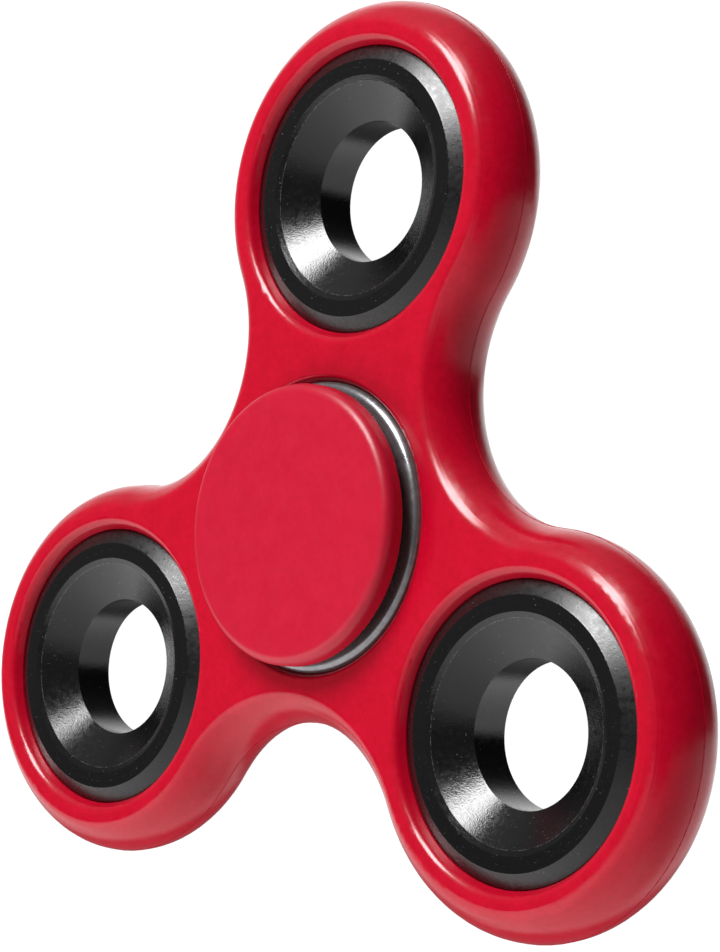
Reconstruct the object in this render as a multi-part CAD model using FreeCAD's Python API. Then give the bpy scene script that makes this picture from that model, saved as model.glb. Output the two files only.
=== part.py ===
"""Three-lobed fidget spinner, built piece by piece.

Units are millimetres. The origin is the centre of the bearing, +Z runs along
the spin axis out of the front finger pad and +Y runs through one lobe.
"""
import FreeCAD, Part
import math
import os

# ---------------------------------------------------------------- body
seat_r = 11.0             # the four round seats all take a 22 mm outside diameter
wall_t = 3.73             # wall left round every seat
neck_r = 11.0             # concave arc between two lobes
body_half_t = 3.4         # half the thickness of the moulding
flank_tilt = 38.0         # slope of the outer flank, degrees from flat
flank_w = 1.96            # how far the flank reaches in from the outline
crest_round_r = 1.2       # round between the flat face and the flank
side_round_r = 3.7        # round between the flank and the side wall
mouth_tilt = 60.0         # slope inside a seat's mouth, degrees from flat
lobe_mouth_w = 0.95       # weight seat: reach of its mouth outwards, round at the crest
lobe_mouth_round_r = 0.8
hub_mouth_w = 0.6         # the same for the bearing seat
hub_mouth_round_r = 0.5
parting_proud = 0.03      # witness line where the mould halves met
parting_half_w = 0.06
lobe_r = seat_r + wall_t
lobe_pitch_r = lobe_r + neck_r
lobe_angles = (90.0, 210.0, 330.0)
lobe_names = ("top", "left", "right")

# ---------------------------------------------------------------- weight rings
weight_half_t = 3.1
weight_face_outer_r = 9.8
weight_bevel_outer_r = 10.88
weight_bevel_drop = 0.62
weight_corner_drop = 0.75
weight_lip_w = 0.45       # small step chamfer between face and cone
weight_lip_drop = 0.18
weight_bore_r = 5.4
weight_front_lip_r = 8.15
weight_front_bore_z = 1.3
weight_rear_lip_r = 7.2
weight_rear_bore_z = -1.94

# ---------------------------------------------------------------- bearing 608
bearing_bore_r = 4.0
bearing_half_w = 3.5
race_corner_r = 0.6
race_bore_chamfer = 0.3
inner_shoulder_r = 6.05
outer_shoulder_r = 8.8
ball_count = 7
ball_r = 3.969 / 2.0
ball_pitch_r = 7.5
groove_r = 2.05           # raceway groove, a little larger than the ball
groove_clearance = 0.0155
recess_r = 9.3            # recess for the shield at each face
recess_floor_z = 2.35
recess_chamfer = 0.12
clip_groove_r = 9.6
clip_groove_h = 0.38

# ---------------------------------------------------------------- shields, clips
shield_t = 0.25
shield_outer_r = 9.25
shield_step_outer_r = 8.6
shield_step_inner_r = 8.2
shield_step_h = 0.3
shield_bore_r = 6.2
clip_inner_r = 8.85
clip_outer_r = 9.55
clip_t = 0.36
clip_gap_deg = 14.0
clip_gap_angle = 270.0

# ---------------------------------------------------------------- cage
cage_inner_r = 6.75
cage_outer_r = 8.2
cage_t = 0.3
pocket_r = 2.03
tab_w = 1.0
tab_rise_t = 0.3
tab_fold_inner_r = 7.7

# ---------------------------------------------------------------- finger pads
pad_r = 10.6
pad_bottom_z = 4.5
pad_top_z = 6.15
pad_top_round = 0.8
pad_bottom_round = 0.12
pad_dish_r = 9.0
pad_dish_depth = 0.3
pad_boss_r = 5.5
pad_boss_fillet = 0.3
stem_gap_half = 0.1       # the two stems stop this far from mid-plane
stem_lead = 0.25
pin_r = 2.0
pin_top_z = 4.0
pin_lead = 0.3
socket_depth_z = 4.3

OUT_DIR = "parts"
ORIGIN = FreeCAD.Vector(0, 0, 0)
Z_AXIS = FreeCAD.Vector(0, 0, 1)


def polar(radius, degrees, z=0.0):
    """Point at a radius and an angle about the spin axis."""
    a = math.radians(degrees)
    return FreeCAD.Vector(radius * math.cos(a), radius * math.sin(a), z)


def rz(radius, z):
    """Point in the XZ half plane, used for turned profiles."""
    return FreeCAD.Vector(radius, 0, z)


def arc_mid(cr, cz, radius, degrees):
    """Point on an arc of a turned profile."""
    a = math.radians(degrees)
    return rz(cr + radius * math.cos(a), cz + radius * math.sin(a))


def profile_wire(steps):
    """Closed wire from steps: ('line', end) or ('arc', middle, end)."""
    start = steps[0]
    here = start
    edges = []
    for step in steps[1:]:
        end = step[-1]
        if step[0] == "line":
            edges.append(Part.makeLine(here, end))
        else:
            edges.append(Part.Arc(here, step[1], end).toShape())
        here = end
    edges.append(Part.makeLine(here, start))
    return Part.Wire(edges)


def turned(steps):
    """Solid of revolution about the spin axis."""
    return Part.Face(profile_wire(steps)).revolve(ORIGIN, Z_AXIS, 360)


def mirrored(shape):
    """The same shape on the other side of the mid-plane."""
    return shape.mirror(ORIGIN, Z_AXIS)


def moved(shape, offset):
    """Copy of a shape shifted by a vector."""
    copy = shape.copy()
    copy.translate(offset)
    return copy


def rotated(shape, degrees):
    """Copy of a shape turned about the spin axis."""
    copy = shape.copy()
    copy.rotate(ORIGIN, Z_AXIS, degrees)
    return copy


def ring(inner_r, outer_r, z0, z1):
    """Flat ring between two heights."""
    outer = Part.makeCylinder(outer_r, z1 - z0, FreeCAD.Vector(0, 0, z0))
    inner = Part.makeCylinder(inner_r, z1 - z0, FreeCAD.Vector(0, 0, z0))
    return outer.cut(inner)


# ---------------------------------------------------------------- body
def body_outline(grow=0.0):
    """Three convex lobes joined by three tangent concave necks, grown outwards if asked."""
    share = (lobe_r + grow) / lobe_pitch_r
    edges = []
    for angle in lobe_angles:
        lobe = polar(lobe_pitch_r, angle)
        neck_before = polar(lobe_pitch_r, angle - 60)
        neck_after = polar(lobe_pitch_r, angle + 60)
        start = lobe + (neck_before - lobe) * share
        end = lobe + (neck_after - lobe) * share
        next_lobe = polar(lobe_pitch_r, angle + 120)
        neck_end = next_lobe + (neck_after - next_lobe) * share
        tip = polar(lobe_pitch_r + lobe_r + grow, angle)
        waist = polar(lobe_pitch_r - neck_r + grow, angle + 60)
        edges.append(Part.Arc(start, tip, end).toShape())
        edges.append(Part.Arc(end, waist, neck_end).toShape())
    return Part.Wire(edges)


def seat_cutter(mouth_w, round_r):
    """Through seat whose mouth rounds over into a slope at both faces."""
    top = body_half_t
    mouth_r = seat_r + mouth_w
    tilt = math.radians(mouth_tilt)
    bend_r = mouth_r - round_r * math.sin(tilt)
    bend_z = top - round_r * (1 - math.cos(tilt))
    mid_r = mouth_r - round_r * math.sin(tilt / 2)
    mid_z = top - round_r * (1 - math.cos(tilt / 2))
    wall_z = bend_z - (bend_r - seat_r) * math.tan(tilt)
    return turned([
        rz(0, -top - 1),
        ("line", rz(mouth_r, -top - 1)),
        ("line", rz(mouth_r, -top)),
        ("arc", rz(mid_r, -mid_z), rz(bend_r, -bend_z)),
        ("line", rz(seat_r, -wall_z)),
        ("line", rz(seat_r, wall_z)),
        ("line", rz(bend_r, bend_z)),
        ("arc", rz(mid_r, mid_z), rz(mouth_r, top)),
        ("line", rz(mouth_r, top + 1)),
        ("line", rz(0, top + 1)),
    ])


def slab(half_t, grow=0.0):
    """Plate with the body's outline, centred on the mid-plane."""
    base = moved(Part.Face(body_outline(grow)), FreeCAD.Vector(0, 0, -half_t))
    return base.extrude(FreeCAD.Vector(0, 0, 2 * half_t))


def edges_at(shape, z):
    """Edges of a shape that lie flat at one height."""
    found = []
    for edge in shape.Edges:
        box = edge.BoundBox
        if abs(box.ZMin - z) < 1e-6 and abs(box.ZMax - z) < 1e-6:
            found.append(edge)
    return found


def make_half_body():
    """Front half of the moulding: flat face, tight crest round, sloped flank, wide side round."""
    flank_h = flank_w * math.tan(math.radians(flank_tilt))
    half = Part.Face(body_outline()).extrude(FreeCAD.Vector(0, 0, body_half_t))
    half = half.makeChamfer(flank_h, flank_w, edges_at(half, body_half_t))
    half = half.makeFillet(crest_round_r, edges_at(half, body_half_t))
    return half.makeFillet(side_round_r, edges_at(half, body_half_t - flank_h))


def make_body():
    """One-piece moulding with four through seats."""
    half = make_half_body()
    body = half.fuse(mirrored(half)).removeSplitter()
    body = body.fuse(slab(parting_half_w, parting_proud))
    body = body.cut(seat_cutter(hub_mouth_w, hub_mouth_round_r))
    for angle in lobe_angles:
        body = body.cut(moved(seat_cutter(lobe_mouth_w, lobe_mouth_round_r), polar(lobe_pitch_r, angle)))
    return body


# ---------------------------------------------------------------- weight rings
def make_weight():
    """Bevelled steel ring, coned from both faces to a short through bore."""
    top = weight_half_t
    z_bevel = top - weight_bevel_drop
    z_corner = top - weight_corner_drop
    z_lip = top - weight_lip_drop
    return turned([
        rz(weight_bore_r, weight_rear_bore_z),
        ("line", rz(weight_rear_lip_r, -z_lip)),
        ("line", rz(weight_rear_lip_r + weight_lip_w, -top)),
        ("line", rz(weight_face_outer_r, -top)),
        ("line", rz(weight_bevel_outer_r, -z_bevel)),
        ("line", rz(seat_r, -z_corner)),
        ("line", rz(seat_r, z_corner)),
        ("line", rz(weight_bevel_outer_r, z_bevel)),
        ("line", rz(weight_face_outer_r, top)),
        ("line", rz(weight_front_lip_r + weight_lip_w, top)),
        ("line", rz(weight_front_lip_r, z_lip)),
        ("line", rz(weight_bore_r, weight_front_bore_z)),
    ])


# ---------------------------------------------------------------- bearing
def groove_half_height(groove_centre_r, shoulder_r):
    """Height above mid-plane where the groove meets the shoulder."""
    return math.sqrt(groove_r ** 2 - (shoulder_r - groove_centre_r) ** 2)


def make_outer_race():
    """Outer race with raceway, shield recesses and clip grooves."""
    w = bearing_half_w
    c = race_corner_r
    bottom_r = ball_pitch_r + ball_r + groove_clearance
    centre_r = bottom_r - groove_r
    g = groove_half_height(centre_r, outer_shoulder_r)
    clip_z0 = recess_floor_z + shield_t
    clip_z1 = clip_z0 + clip_groove_h
    k = recess_chamfer
    return turned([
        rz(seat_r, w - c),
        ("arc", arc_mid(seat_r - c, w - c, c, 45), rz(seat_r - c, w)),
        ("line", rz(recess_r + k, w)),
        ("line", rz(recess_r, w - k)),
        ("line", rz(recess_r, clip_z1)),
        ("line", rz(clip_groove_r, clip_z1)),
        ("line", rz(clip_groove_r, clip_z0)),
        ("line", rz(recess_r, clip_z0)),
        ("line", rz(recess_r, recess_floor_z)),
        ("line", rz(outer_shoulder_r, recess_floor_z)),
        ("line", rz(outer_shoulder_r, g)),
        ("arc", rz(bottom_r, 0), rz(outer_shoulder_r, -g)),
        ("line", rz(outer_shoulder_r, -recess_floor_z)),
        ("line", rz(recess_r, -recess_floor_z)),
        ("line", rz(recess_r, -clip_z0)),
        ("line", rz(clip_groove_r, -clip_z0)),
        ("line", rz(clip_groove_r, -clip_z1)),
        ("line", rz(recess_r, -clip_z1)),
        ("line", rz(recess_r, -w + k)),
        ("line", rz(recess_r + k, -w)),
        ("line", rz(seat_r - c, -w)),
        ("arc", arc_mid(seat_r - c, -w + c, c, -45), rz(seat_r, -w + c)),
    ])


def make_inner_race():
    """Inner race with raceway and chamfered bore."""
    w = bearing_half_w
    k = race_bore_chamfer
    bottom_r = ball_pitch_r - ball_r - groove_clearance
    centre_r = bottom_r + groove_r
    g = groove_half_height(centre_r, inner_shoulder_r)
    return turned([
        rz(bearing_bore_r, -w + k),
        ("line", rz(bearing_bore_r + k, -w)),
        ("line", rz(inner_shoulder_r - k / 2, -w)),
        ("line", rz(inner_shoulder_r, -w + k / 2)),
        ("line", rz(inner_shoulder_r, -g)),
        ("arc", rz(bottom_r, 0), rz(inner_shoulder_r, g)),
        ("line", rz(inner_shoulder_r, w - k / 2)),
        ("line", rz(inner_shoulder_r - k / 2, w)),
        ("line", rz(bearing_bore_r + k, w)),
        ("line", rz(bearing_bore_r, w - k)),
    ])


def make_shield():
    """Pressed washer with a raised web, for the front face."""
    z0 = recess_floor_z
    z1 = z0 + shield_t
    h = shield_step_h
    return turned([
        rz(shield_outer_r, z0),
        ("line", rz(shield_outer_r, z1)),
        ("line", rz(shield_step_outer_r, z1)),
        ("line", rz(shield_step_inner_r, z1 + h)),
        ("line", rz(shield_bore_r, z1 + h)),
        ("line", rz(shield_bore_r, z0 + h)),
        ("line", rz(shield_step_inner_r, z0 + h)),
        ("line", rz(shield_step_outer_r, z0)),
    ])


def make_clip():
    """Open snap ring that holds the front shield in its recess."""
    z0 = recess_floor_z + shield_t
    full = ring(clip_inner_r, clip_outer_r, z0, z0 + clip_t)
    gap_w = clip_gap_deg / 360 * 2 * math.pi * clip_outer_r
    corner = FreeCAD.Vector(0, -gap_w / 2, z0)
    gap = Part.makeBox(clip_outer_r + 1, gap_w, clip_t, corner)
    return full.cut(rotated(gap, clip_gap_angle))


# ---------------------------------------------------------------- cage
def ball_angle(index):
    """Angle of a ball about the spin axis."""
    return 90.0 + index * 360.0 / ball_count


def half_cage_shell():
    """Front half: flat ribbon with a dome over every ball."""
    band = ring(cage_inner_r, cage_outer_r, 0, pocket_r + cage_t + 1)
    shell = ring(cage_inner_r, cage_outer_r, 0, cage_t)
    for index in range(ball_count):
        centre = polar(ball_pitch_r, ball_angle(index))
        dome = Part.makeSphere(pocket_r + cage_t, centre).common(band)
        shell = shell.fuse(dome)
    for index in range(ball_count):
        centre = polar(ball_pitch_r, ball_angle(index))
        shell = shell.cut(Part.makeSphere(pocket_r, centre))
    return shell.removeSplitter()


def cage_tab():
    """Tab that rises outside the ribbons and folds over the front one."""
    foot_r = cage_outer_r - 0.2
    outer_r = cage_outer_r + tab_rise_t
    foot = Part.makeBox(outer_r - foot_r, tab_w, cage_t,
                        FreeCAD.Vector(foot_r, -tab_w / 2, -cage_t))
    rise = Part.makeBox(tab_rise_t, tab_w, 3 * cage_t,
                        FreeCAD.Vector(cage_outer_r, -tab_w / 2, -cage_t))
    fold = Part.makeBox(outer_r - tab_fold_inner_r, tab_w, cage_t,
                        FreeCAD.Vector(tab_fold_inner_r, -tab_w / 2, cage_t))
    return foot.fuse(rise).fuse(fold)


def make_front_cage():
    """Front half of the ball cage."""
    return half_cage_shell()


def make_rear_cage():
    """Rear half of the ball cage, with the clinching tabs."""
    cage = mirrored(half_cage_shell())
    for index in range(ball_count):
        web_angle = ball_angle(index) + 180.0 / ball_count
        cage = cage.fuse(rotated(cage_tab(), web_angle))
    return cage.removeSplitter()


def make_ball(index):
    """Bearing ball, its poles along the spin axis."""
    return Part.makeSphere(ball_r, polar(ball_pitch_r, ball_angle(index)))


# ---------------------------------------------------------------- finger pads
def pad_profile(inner_steps):
    """Dished pad with a spacer boss and a press-fit stem."""
    t = pad_top_round
    b = pad_bottom_round
    f = pad_boss_fillet
    w = bearing_half_w
    r = bearing_bore_r
    dish_r = (pad_dish_r ** 2 + pad_dish_depth ** 2) / (2 * pad_dish_depth)
    half = math.asin(pad_dish_r / dish_r) / 2
    dish_mid = rz(dish_r * math.sin(half), pad_top_z - pad_dish_depth + dish_r * (1 - math.cos(half)))
    return turned([
        rz(0, pad_top_z - pad_dish_depth),
        ("arc", dish_mid, rz(pad_dish_r, pad_top_z)),
        ("line", rz(pad_r - t, pad_top_z)),
        ("arc", arc_mid(pad_r - t, pad_top_z - t, t, 45), rz(pad_r, pad_top_z - t)),
        ("line", rz(pad_r, pad_bottom_z + b)),
        ("arc", arc_mid(pad_r - b, pad_bottom_z + b, b, -45), rz(pad_r - b, pad_bottom_z)),
        ("line", rz(pad_boss_r + f, pad_bottom_z)),
        ("arc", arc_mid(pad_boss_r + f, pad_bottom_z - f, f, 135), rz(pad_boss_r, pad_bottom_z - f)),
        ("line", rz(pad_boss_r, w)),
        ("line", rz(r, w)),
        ("line", rz(r, stem_gap_half + stem_lead)),
        ("line", rz(r - stem_lead, stem_gap_half)),
    ] + inner_steps)


def make_front_pad():
    """Front pad, its stem bored as a socket."""
    return pad_profile([
        ("line", rz(pin_r, stem_gap_half)),
        ("line", rz(pin_r, socket_depth_z)),
        ("line", rz(0, socket_depth_z)),
    ])


def make_rear_pad():
    """Rear pad, its stem carrying the pin that presses into the socket."""
    pad = mirrored(pad_profile([("line", rz(0, stem_gap_half))]))
    pin = turned([
        rz(0, -stem_gap_half),
        ("line", rz(pin_r, -stem_gap_half)),
        ("line", rz(pin_r, pin_top_z - pin_lead)),
        ("line", rz(pin_r - pin_lead, pin_top_z)),
        ("line", rz(0, pin_top_z)),
    ])
    return pad.fuse(pin).removeSplitter()


# ---------------------------------------------------------------- export
def all_nodes():
    """Every node of the assembly, by name."""
    nodes = {"spinner_body": make_body()}
    weight = make_weight()
    for name, angle in zip(lobe_names, lobe_angles):
        nodes["weight_ring_" + name] = moved(weight, polar(lobe_pitch_r, angle))
    nodes["bearing_outer_race"] = make_outer_race()
    nodes["bearing_inner_race"] = make_inner_race()
    for index in range(ball_count):
        nodes["bearing_ball_%d" % (index + 1)] = make_ball(index)
    nodes["cage_front"] = make_front_cage()
    nodes["cage_rear"] = make_rear_cage()
    shield = make_shield()
    nodes["shield_front"] = shield
    nodes["shield_rear"] = mirrored(shield)
    clip = make_clip()
    nodes["snap_ring_front"] = clip
    nodes["snap_ring_rear"] = mirrored(clip)
    nodes["pad_front"] = make_front_pad()
    nodes["pad_rear"] = make_rear_pad()
    return nodes


os.makedirs(OUT_DIR, exist_ok=True)
for node_name, node_shape in all_nodes().items():
    print(node_name, node_shape.isValid(), len(node_shape.Solids), round(node_shape.Volume, 3))
    node_shape.exportStep(OUT_DIR + "/" + node_name + ".step")
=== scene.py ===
import math

import bpy
from mathutils import Matrix, Vector


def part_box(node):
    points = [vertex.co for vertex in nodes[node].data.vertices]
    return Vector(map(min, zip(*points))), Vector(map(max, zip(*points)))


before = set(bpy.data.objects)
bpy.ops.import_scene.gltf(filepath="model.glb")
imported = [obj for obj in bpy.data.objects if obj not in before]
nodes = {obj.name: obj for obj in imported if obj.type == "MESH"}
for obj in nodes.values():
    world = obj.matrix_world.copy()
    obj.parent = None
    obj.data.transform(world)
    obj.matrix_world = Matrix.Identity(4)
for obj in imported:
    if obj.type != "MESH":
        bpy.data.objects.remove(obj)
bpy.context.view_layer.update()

MM = 0.001

# ---------------------------------------------------------------- camera
CAM_AT = Vector((173.497, -0.416, 170.257)) * MM
CAM_RIGHT = Vector((0.69863, 0.11315, -0.70648))
CAM_UP = Vector((-0.06719, 0.99343, 0.09267))
CAM_BACK = Vector((0.71232, -0.01728, 0.70164))
SENSOR_MM = 36.0
LENS_MM = 121.116
SHIFT_X = 0.0045
SHIFT_Y = 0.0056
CLIP_START = 0.01
CLIP_END = 20.0

# ---------------------------------------------------------------- noises
# Each is a scale per metre, a detail and a roughness. The ranges are the part of a noise that is used.
NOISE_RANGE = (0.3, 0.7)
MOTTLE_RANGE = (0.36, 0.64)
STEEL_TONE_RANGE = (0.35, 0.65)
PLASTIC_CLOUD = (520.0, 4.0, 0.65)
PLASTIC_GRAIN = (2200.0, 2.0, 0.6)
PLASTIC_GLOSS = (700.0, 4.0, 0.6)
PLASTIC_WAVE = (200.0, 2.0, 0.5)
# This noise breaks up the lighter lines round a ring's face, which are partly wear and partly painted
# highlight.
COAT_LINE_BREAKS = (3600.0, 4.0, 0.8)
COAT_SPECKS = (5200.0, 1.0, 0.5)
COAT_GLOSS = (2400.0, 4.0, 0.7)
COAT_GRIT = (7500.0, 2.0, 0.7)
COAT_PEEL = (1300.0, 3.0, 0.6)
STEEL_TONE = (1200.0, 4.0, 0.65)
STEEL_GLOSS = (500.0, 3.0, 0.6)
STEEL_GRAIN = (2500.0, 3.0, 0.6)
FLOOR_TONE = (30.0, 3.0, 0.5)

# ---------------------------------------------------------------- bumps: distance in metres, strength
PLASTIC_GRAIN_BUMP = (0.000004, 0.5)
PLASTIC_WAVE_BUMP = (0.00002, 0.12)
COAT_GRIT_BUMP = (0.000014, 0.9)
COAT_PEEL_BUMP = (0.000016, 0.5)
STEEL_BUMP_STRENGTH = 0.4

# ---------------------------------------------------------------- plastic
PLASTIC_IOR = 1.5
CLOUD_SHARE = 0.45
GRAIN_SHARE = 0.55
BODY_BASE = (0.485, 0.0020, 0.020)
BODY_DEEP = (0.415, 0.0010, 0.014)
BODY_ROUGH = 0.21
PAD_BASE = (0.48, 0.0050, 0.027)
PAD_DEEP = (0.43, 0.0040, 0.023)
PAD_ROUGH = 0.36

# ---------------------------------------------------------------- black coat
COAT_IOR = 1.62
COAT_BLACK = (0.0035, 0.0035, 0.004)
# Lighter grey for the marks: specks, and face lines that are partly worn paint and partly painted
# highlight.
COAT_WEAR_AND_HIGHLIGHT = (0.10, 0.10, 0.105)
COAT_ROUGH = (0.08, 0.24)
BEVEL_EXTRA_ROUGH = 0.15
BEVEL_START = (9.7 * MM, 9.9 * MM)      # radius at which the rougher bevel begins
FACE_START = (2.2 * MM, 2.6 * MM)       # height at which a ring's face, which carries the wear and painted highlight lines, begins
SPECK_RANGE = (0.74, 0.80)
CHIP_FADE = 0.2
# Lighter lines round a ring's face: partly worn paint, partly painted highlights standing in for light
# caught on the face's small edges and steps.
EDGE_WEAR_AND_HIGHLIGHT_LINES = ((8.17, 0.05, 0.44), (8.75, 0.06, 0.60), (9.25, 0.06, 0.58))   # radius mm, width mm, gap

# ---------------------------------------------------------------- steels
RACE_COLOUR = (0.34, 0.34, 0.355)
SHIELD_COLOUR = (0.28, 0.28, 0.29)
BALL_COLOUR = (0.75, 0.75, 0.77)
TURNING_PITCH = 0.09 * MM
DARKER = 0.75

# ---------------------------------------------------------------- lights and surroundings
KEY_FROM = (-0.457, 0.791, 0.407)
KEY_DISTANCE = 0.8
KEY_SIZE = (0.34, 0.38)
KEY_RADIANCE = 20.5
FILL_SIZE = (0.6, 0.6)
FILLS = (("fill_left", (-0.85, -0.45, 0.15), 4.2), ("fill_low", (0.2, -0.9, 0.3), 3.0))
DARK_PATCH_AT = (0.0, -0.64, -0.77)
AMBIENT = 0.015
FLOOR_HALF_SIDE = 3.0
FLOOR_ROUGH = 0.9
FLOOR_GREY = (0.10, 0.12)


def rgb(r, g, b):
    return (r, g, b, 1.0)


# ---------------------------------------------------------------- node helpers
class Net:
    """A node tree with short ways to add to it."""

    def __init__(self, tree, space):
        self.tree = tree
        self.coord = self.add("ShaderNodeTexCoord").outputs[space]

    def add(self, kind, **props):
        node = self.tree.nodes.new(kind)
        for key, value in props.items():
            setattr(node, key, value)
        return node

    def link(self, a, b):
        self.tree.links.new(a, b)

    def put(self, socket, value):
        if isinstance(value, bpy.types.NodeSocket):
            self.link(value, socket)
        else:
            socket.default_value = value

    def calc(self, op, a, b=0.0, clamp=False):
        node = self.add("ShaderNodeMath", operation=op, use_clamp=clamp)
        self.put(node.inputs[0], a)
        self.put(node.inputs[1], b)
        return node.outputs[0]

    def plus(self, a, b):
        return self.calc("ADD", a, b)

    def times(self, a, b):
        return self.calc("MULTIPLY", a, b)

    def noise(self, scale, detail, rough):
        node = self.add("ShaderNodeTexNoise")
        self.link(self.coord, node.inputs["Vector"])
        node.inputs["Scale"].default_value = scale
        node.inputs["Detail"].default_value = detail
        node.inputs["Roughness"].default_value = rough
        return node.outputs["Fac"]

    def remap(self, value, a0, a1, b0, b1):
        node = self.add("ShaderNodeMapRange", clamp=True)
        self.put(node.inputs["Value"], value)
        for key, number in zip(("From Min", "From Max", "To Min", "To Max"), (a0, a1, b0, b1)):
            self.put(node.inputs[key], number)
        return node.outputs["Result"]

    def mix(self, fac, a, b):
        node = self.add("ShaderNodeMix", data_type="RGBA")
        self.put(node.inputs["Factor"], fac)
        self.put(node.inputs[6], a)
        self.put(node.inputs[7], b)
        return node.outputs[2]

    def xyz(self):
        node = self.add("ShaderNodeSeparateXYZ")
        self.link(self.coord, node.inputs[0])
        return node.outputs

    def radius(self, cx=0.0, cy=0.0):
        x, y, _ = self.xyz()
        dx = self.calc("SUBTRACT", x, cx)
        dy = self.calc("SUBTRACT", y, cy)
        return self.calc("SQRT", self.plus(self.times(dx, dx), self.times(dy, dy)))

    def along(self, axis):
        node = self.add("ShaderNodeVectorMath", operation="DOT_PRODUCT")
        self.link(self.coord, node.inputs[0])
        node.inputs[1].default_value = axis
        return node.outputs["Value"]

    def bump(self, height, distance, strength, normal=None):
        node = self.add("ShaderNodeBump")
        node.inputs["Strength"].default_value = strength
        node.inputs["Distance"].default_value = distance
        self.link(height, node.inputs["Height"])
        if normal is not None:
            self.link(normal, node.inputs["Normal"])
        return node.outputs["Normal"]


class Paint(Net):
    """A new material with one Principled shader."""

    def __init__(self, name):
        self.mat = bpy.data.materials.new(name)
        self.mat.use_nodes = True
        self.mat.node_tree.nodes.clear()
        super().__init__(self.mat.node_tree, "Object")
        bsdf = self.add("ShaderNodeBsdfPrincipled")
        out = self.add("ShaderNodeOutputMaterial")
        self.link(bsdf.outputs["BSDF"], out.inputs["Surface"])
        self.sockets = bsdf.inputs


# ---------------------------------------------------------------- materials
def red_plastic(name, base, deep, rough):
    """Glossy moulded plastic: faint cloudy mottle, fine grain and a slightly wavy skin."""
    n = Paint(name)
    b = n.sockets
    cloud = n.noise(*PLASTIC_CLOUD)
    grain = n.noise(*PLASTIC_GRAIN)
    mottle = n.plus(n.times(cloud, CLOUD_SHARE), n.times(grain, GRAIN_SHARE))
    n.put(b["Base Color"], n.mix(n.remap(mottle, *MOTTLE_RANGE, 0.0, 1.0), rgb(*deep), rgb(*base)))
    n.put(b["Roughness"], n.remap(n.noise(*PLASTIC_GLOSS), *NOISE_RANGE, rough - 0.04, rough + 0.05))
    b["Specular IOR Level"].default_value = 0.5
    b["IOR"].default_value = PLASTIC_IOR
    normal = n.bump(grain, *PLASTIC_GRAIN_BUMP)
    normal = n.bump(n.noise(*PLASTIC_WAVE), *PLASTIC_WAVE_BUMP, normal)
    n.put(b["Normal"], normal)
    return n.mat


def edge_wear_and_highlight(n, r):
    """Broken lighter lines that run round a ring's face: partly worn paint, partly painted highlights
    standing in for light caught on its small edges and steps.
    """
    near_face = n.remap(n.xyz()[2], *FACE_START, 0.0, 1.0)
    line_breaks = n.noise(*COAT_LINE_BREAKS)
    lines = []
    for edge, width, gap in EDGE_WEAR_AND_HIGHLIGHT_LINES:
        distance = n.calc("ABSOLUTE", n.calc("SUBTRACT", r, edge * MM))
        line = n.remap(distance, 0.0, width * MM, 1.0, 0.0)
        lines.append(n.times(line, n.remap(line_breaks, gap, gap + CHIP_FADE, 0.0, 1.0)))
    wear_and_highlight = lines[0]
    for line in lines[1:]:
        wear_and_highlight = n.calc("MAXIMUM", wear_and_highlight, line)
    return n.times(wear_and_highlight, near_face)


def black_coat(name, centre):
    """Glossy black lacquer on metal: orange peel, lighter face lines that are partly wear and partly
    painted highlight, specks and a rougher bevel.
    """
    n = Paint(name)
    b = n.sockets
    r = n.radius(centre.x, centre.y)
    specks = n.remap(n.noise(*COAT_SPECKS), *SPECK_RANGE, 0.0, 1.0)
    # Lighter marks: the face lines, partly painted highlight, together with the specks.
    marks = n.calc("MAXIMUM", edge_wear_and_highlight(n, r), specks, clamp=True)
    n.put(b["Base Color"], n.mix(marks, rgb(*COAT_BLACK), rgb(*COAT_WEAR_AND_HIGHLIGHT)))
    gloss = n.remap(n.noise(*COAT_GLOSS), *NOISE_RANGE, *COAT_ROUGH)
    n.put(b["Roughness"], n.plus(gloss, n.remap(r, *BEVEL_START, 0.0, BEVEL_EXTRA_ROUGH)))
    b["IOR"].default_value = COAT_IOR
    normal = n.bump(n.noise(*COAT_GRIT), *COAT_GRIT_BUMP)
    normal = n.bump(n.noise(*COAT_PEEL), *COAT_PEEL_BUMP, normal)
    n.put(b["Normal"], normal)
    return n.mat


def steel(name, colour, rough, turned=0.0, metallic=1.0, bumpy=0.000004):
    """Bare bearing steel with fine turning rings and a slightly uneven polish."""
    n = Paint(name)
    b = n.sockets
    b["Metallic"].default_value = metallic
    tone = n.remap(n.noise(*STEEL_TONE), *STEEL_TONE_RANGE, 0.0, 1.0)
    dark = tuple(DARKER * c for c in colour)
    n.put(b["Base Color"], n.mix(tone, rgb(*dark), rgb(*colour)))
    n.put(b["Roughness"], n.remap(n.noise(*STEEL_GLOSS), *NOISE_RANGE, rough - 0.05, rough + 0.08))
    rings = n.calc("SINE", n.times(n.radius(), 2 * math.pi / TURNING_PITCH))
    height = n.plus(n.times(rings, turned), n.noise(*STEEL_GRAIN))
    n.put(b["Normal"], n.bump(height, bumpy, STEEL_BUMP_STRENGTH))
    return n.mat


def assign(node_name, mat):
    slots = nodes[node_name].data.materials
    for i in range(len(slots)):
        slots[i] = mat
    if not len(slots):
        slots.append(mat)


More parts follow.
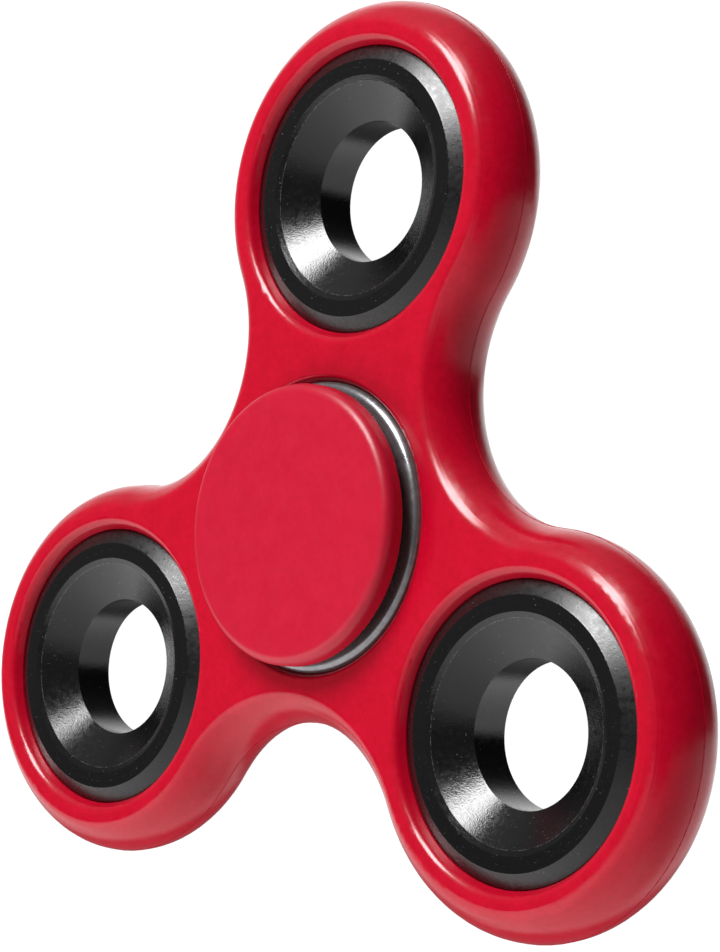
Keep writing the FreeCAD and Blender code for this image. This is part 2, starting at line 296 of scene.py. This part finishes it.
def paint_all():
    assign("spinner_body", red_plastic("body_red", BODY_BASE, BODY_DEEP, BODY_ROUGH))
    pad_red = red_plastic("pad_red", PAD_BASE, PAD_DEEP, PAD_ROUGH)
    for name in ("pad_front", "pad_rear"):
        assign(name, pad_red)
    for lobe in ("top", "left", "right"):
        lo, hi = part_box("weight_ring_" + lobe)
        assign("weight_ring_" + lobe, black_coat("black_coat_" + lobe, (lo + hi) / 2))
    race = steel("race_steel", RACE_COLOUR, 0.26, turned=0.05, metallic=0.8, bumpy=0.000002)
    shield = steel("shield_steel", SHIELD_COLOUR, 0.34, turned=0.1)
    ball = steel("ball_steel", BALL_COLOUR, 0.08)
    for name in ("bearing_outer_race", "bearing_inner_race"):
        assign(name, race)
    for name in ("shield", "snap_ring", "cage"):
        assign(name + "_front", shield)
        assign(name + "_rear", shield)
    for i in range(1, 8):
        assign("bearing_ball_%d" % i, ball)


# ---------------------------------------------------------------- camera, stage and lights
def make_camera():
    data = bpy.data.cameras.new("camera")
    cam = bpy.data.objects.new("camera", data)
    bpy.context.scene.collection.objects.link(cam)
    data.sensor_width = SENSOR_MM
    data.lens = LENS_MM
    data.shift_x = SHIFT_X
    data.shift_y = SHIFT_Y
    data.clip_start = CLIP_START
    data.clip_end = CLIP_END
    back = CAM_BACK.normalized()
    right = CAM_UP.cross(back).normalized()
    axes = Matrix((right, back.cross(right), back)).transposed()
    cam.matrix_world = Matrix.Translation(CAM_AT) @ axes.to_4x4()
    bpy.context.scene.camera = cam


def view_point(right, up, back):
    """A point given by its distances along the camera's axes."""
    return CAM_RIGHT * right + CAM_UP * up + CAM_BACK * back


def softbox(name, at, size, radiance):
    """An area light that faces the origin; its brightness is set per unit of its area."""
    data = bpy.data.lights.new(name, "AREA")
    data.shape = "RECTANGLE"
    data.size, data.size_y = size
    data.energy = radiance * math.pi * size[0] * size[1]
    light = bpy.data.objects.new(name, data)
    bpy.context.scene.collection.objects.link(light)
    light.location = at
    light.rotation_mode = "QUATERNION"
    light.rotation_quaternion = (-at).to_track_quat("-Z", "Y")
    return light


def make_floor():
    """A pale floor under the rear pad that only the camera sees."""
    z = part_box("pad_rear")[0].z
    s = FLOOR_HALF_SIDE
    mesh = bpy.data.meshes.new("floor")
    mesh.from_pydata([(-s, -s, z), (s, -s, z), (s, s, z), (-s, s, z)], [], [(0, 1, 2, 3)])
    floor = bpy.data.objects.new("floor", mesh)
    bpy.context.scene.collection.objects.link(floor)
    for ray in ("diffuse", "glossy", "transmission", "shadow"):
        setattr(floor, "visible_" + ray, False)
    n = Paint("floor_paper")
    b = n.sockets
    tone = n.remap(n.noise(*FLOOR_TONE), *NOISE_RANGE, *FLOOR_GREY)
    grey = n.add("ShaderNodeCombineColor")
    for socket in grey.inputs[:3]:
        n.link(tone, socket)
    n.put(b["Base Color"], grey.outputs[0])
    b["Roughness"].default_value = FLOOR_ROUGH
    b["Specular IOR Level"].default_value = 0.0
    b["Emission Color"].default_value = rgb(1, 1, 1)
    b["Emission Strength"].default_value = 1.0
    mesh.materials.append(n.mat)


def sweep_light(n, right, up, back):
    """The bright paper below the object, with a dark patch low down beyond it."""
    brim = n.remap(right, -0.55, -0.98, 0.0, 0.20)
    below = n.remap(n.plus(up, brim), 0.0, -0.08, 0.0, 1.0)
    depth = n.times(n.remap(back, 0.95, 0.10, 0.45, 1.20), n.remap(back, 0.985, 0.93, 0.0, 1.0))
    right_end = n.remap(back, 0.1, -0.3, 0.5, 0.9)
    paper = n.times(depth, n.remap(right, -0.25, 0.35, 1.0, right_end))
    patch = n.remap(n.along(view_point(*DARK_PATCH_AT)), 0.80, 0.90, 1.0, 0.12)
    return n.times(paper, n.times(below, patch))


def wall_light(n, right, back, above):
    """The bright wall beyond the object, dimmer at the left."""
    wall = n.remap(back, -0.55, -0.80, 0.0, 1.2)
    wall = n.times(wall, n.remap(right, -0.45, -0.10, 0.35, 1.0))
    return n.times(wall, above)


def roof_light(n, right, up, back):
    """A dim ceiling above and beyond the object, fading out at the right."""
    roof = n.times(n.remap(up, 0.50, 0.95, 0.0, 0.35), n.remap(back, 0.5, 0.0, 0.0, 1.0))
    return n.times(roof, n.remap(right, 0.0, 0.45, 1.0, 0.15))


def make_world():
    """A dim room with a bright sweep below and a bright wall beyond the object.

    A direction is described by how far it points along the camera's axes:
    right, up, and back towards the camera.
    """
    world = bpy.data.worlds.new("studio")
    bpy.context.scene.world = world
    world.use_nodes = True
    n = Net(world.node_tree, "Generated")
    right, up, back = n.along(CAM_RIGHT), n.along(CAM_UP), n.along(CAM_BACK)
    above = n.remap(up, -0.06, 0.05, 0.0, 1.0)
    side = n.times(n.remap(right, -0.20, -0.80, 0.0, 0.12), above)
    far = n.plus(sweep_light(n, right, up, back), wall_light(n, right, back, above))
    near = n.plus(side, roof_light(n, right, up, back))
    background = n.tree.nodes["Background"]
    background.inputs["Color"].default_value = rgb(1, 1, 1)
    n.link(n.plus(n.plus(far, near), AMBIENT), background.inputs["Strength"])


def make_lights():
    softbox("key", view_point(*KEY_FROM) * KEY_DISTANCE, KEY_SIZE, KEY_RADIANCE)
    for name, at, radiance in FILLS:
        fill = softbox(name, view_point(*at), FILL_SIZE, radiance)
        fill.visible_glossy = False


make_camera()
paint_all()
make_floor()
make_world()
make_lights()
bpy.context.scene.view_settings.view_transform = "Standard"
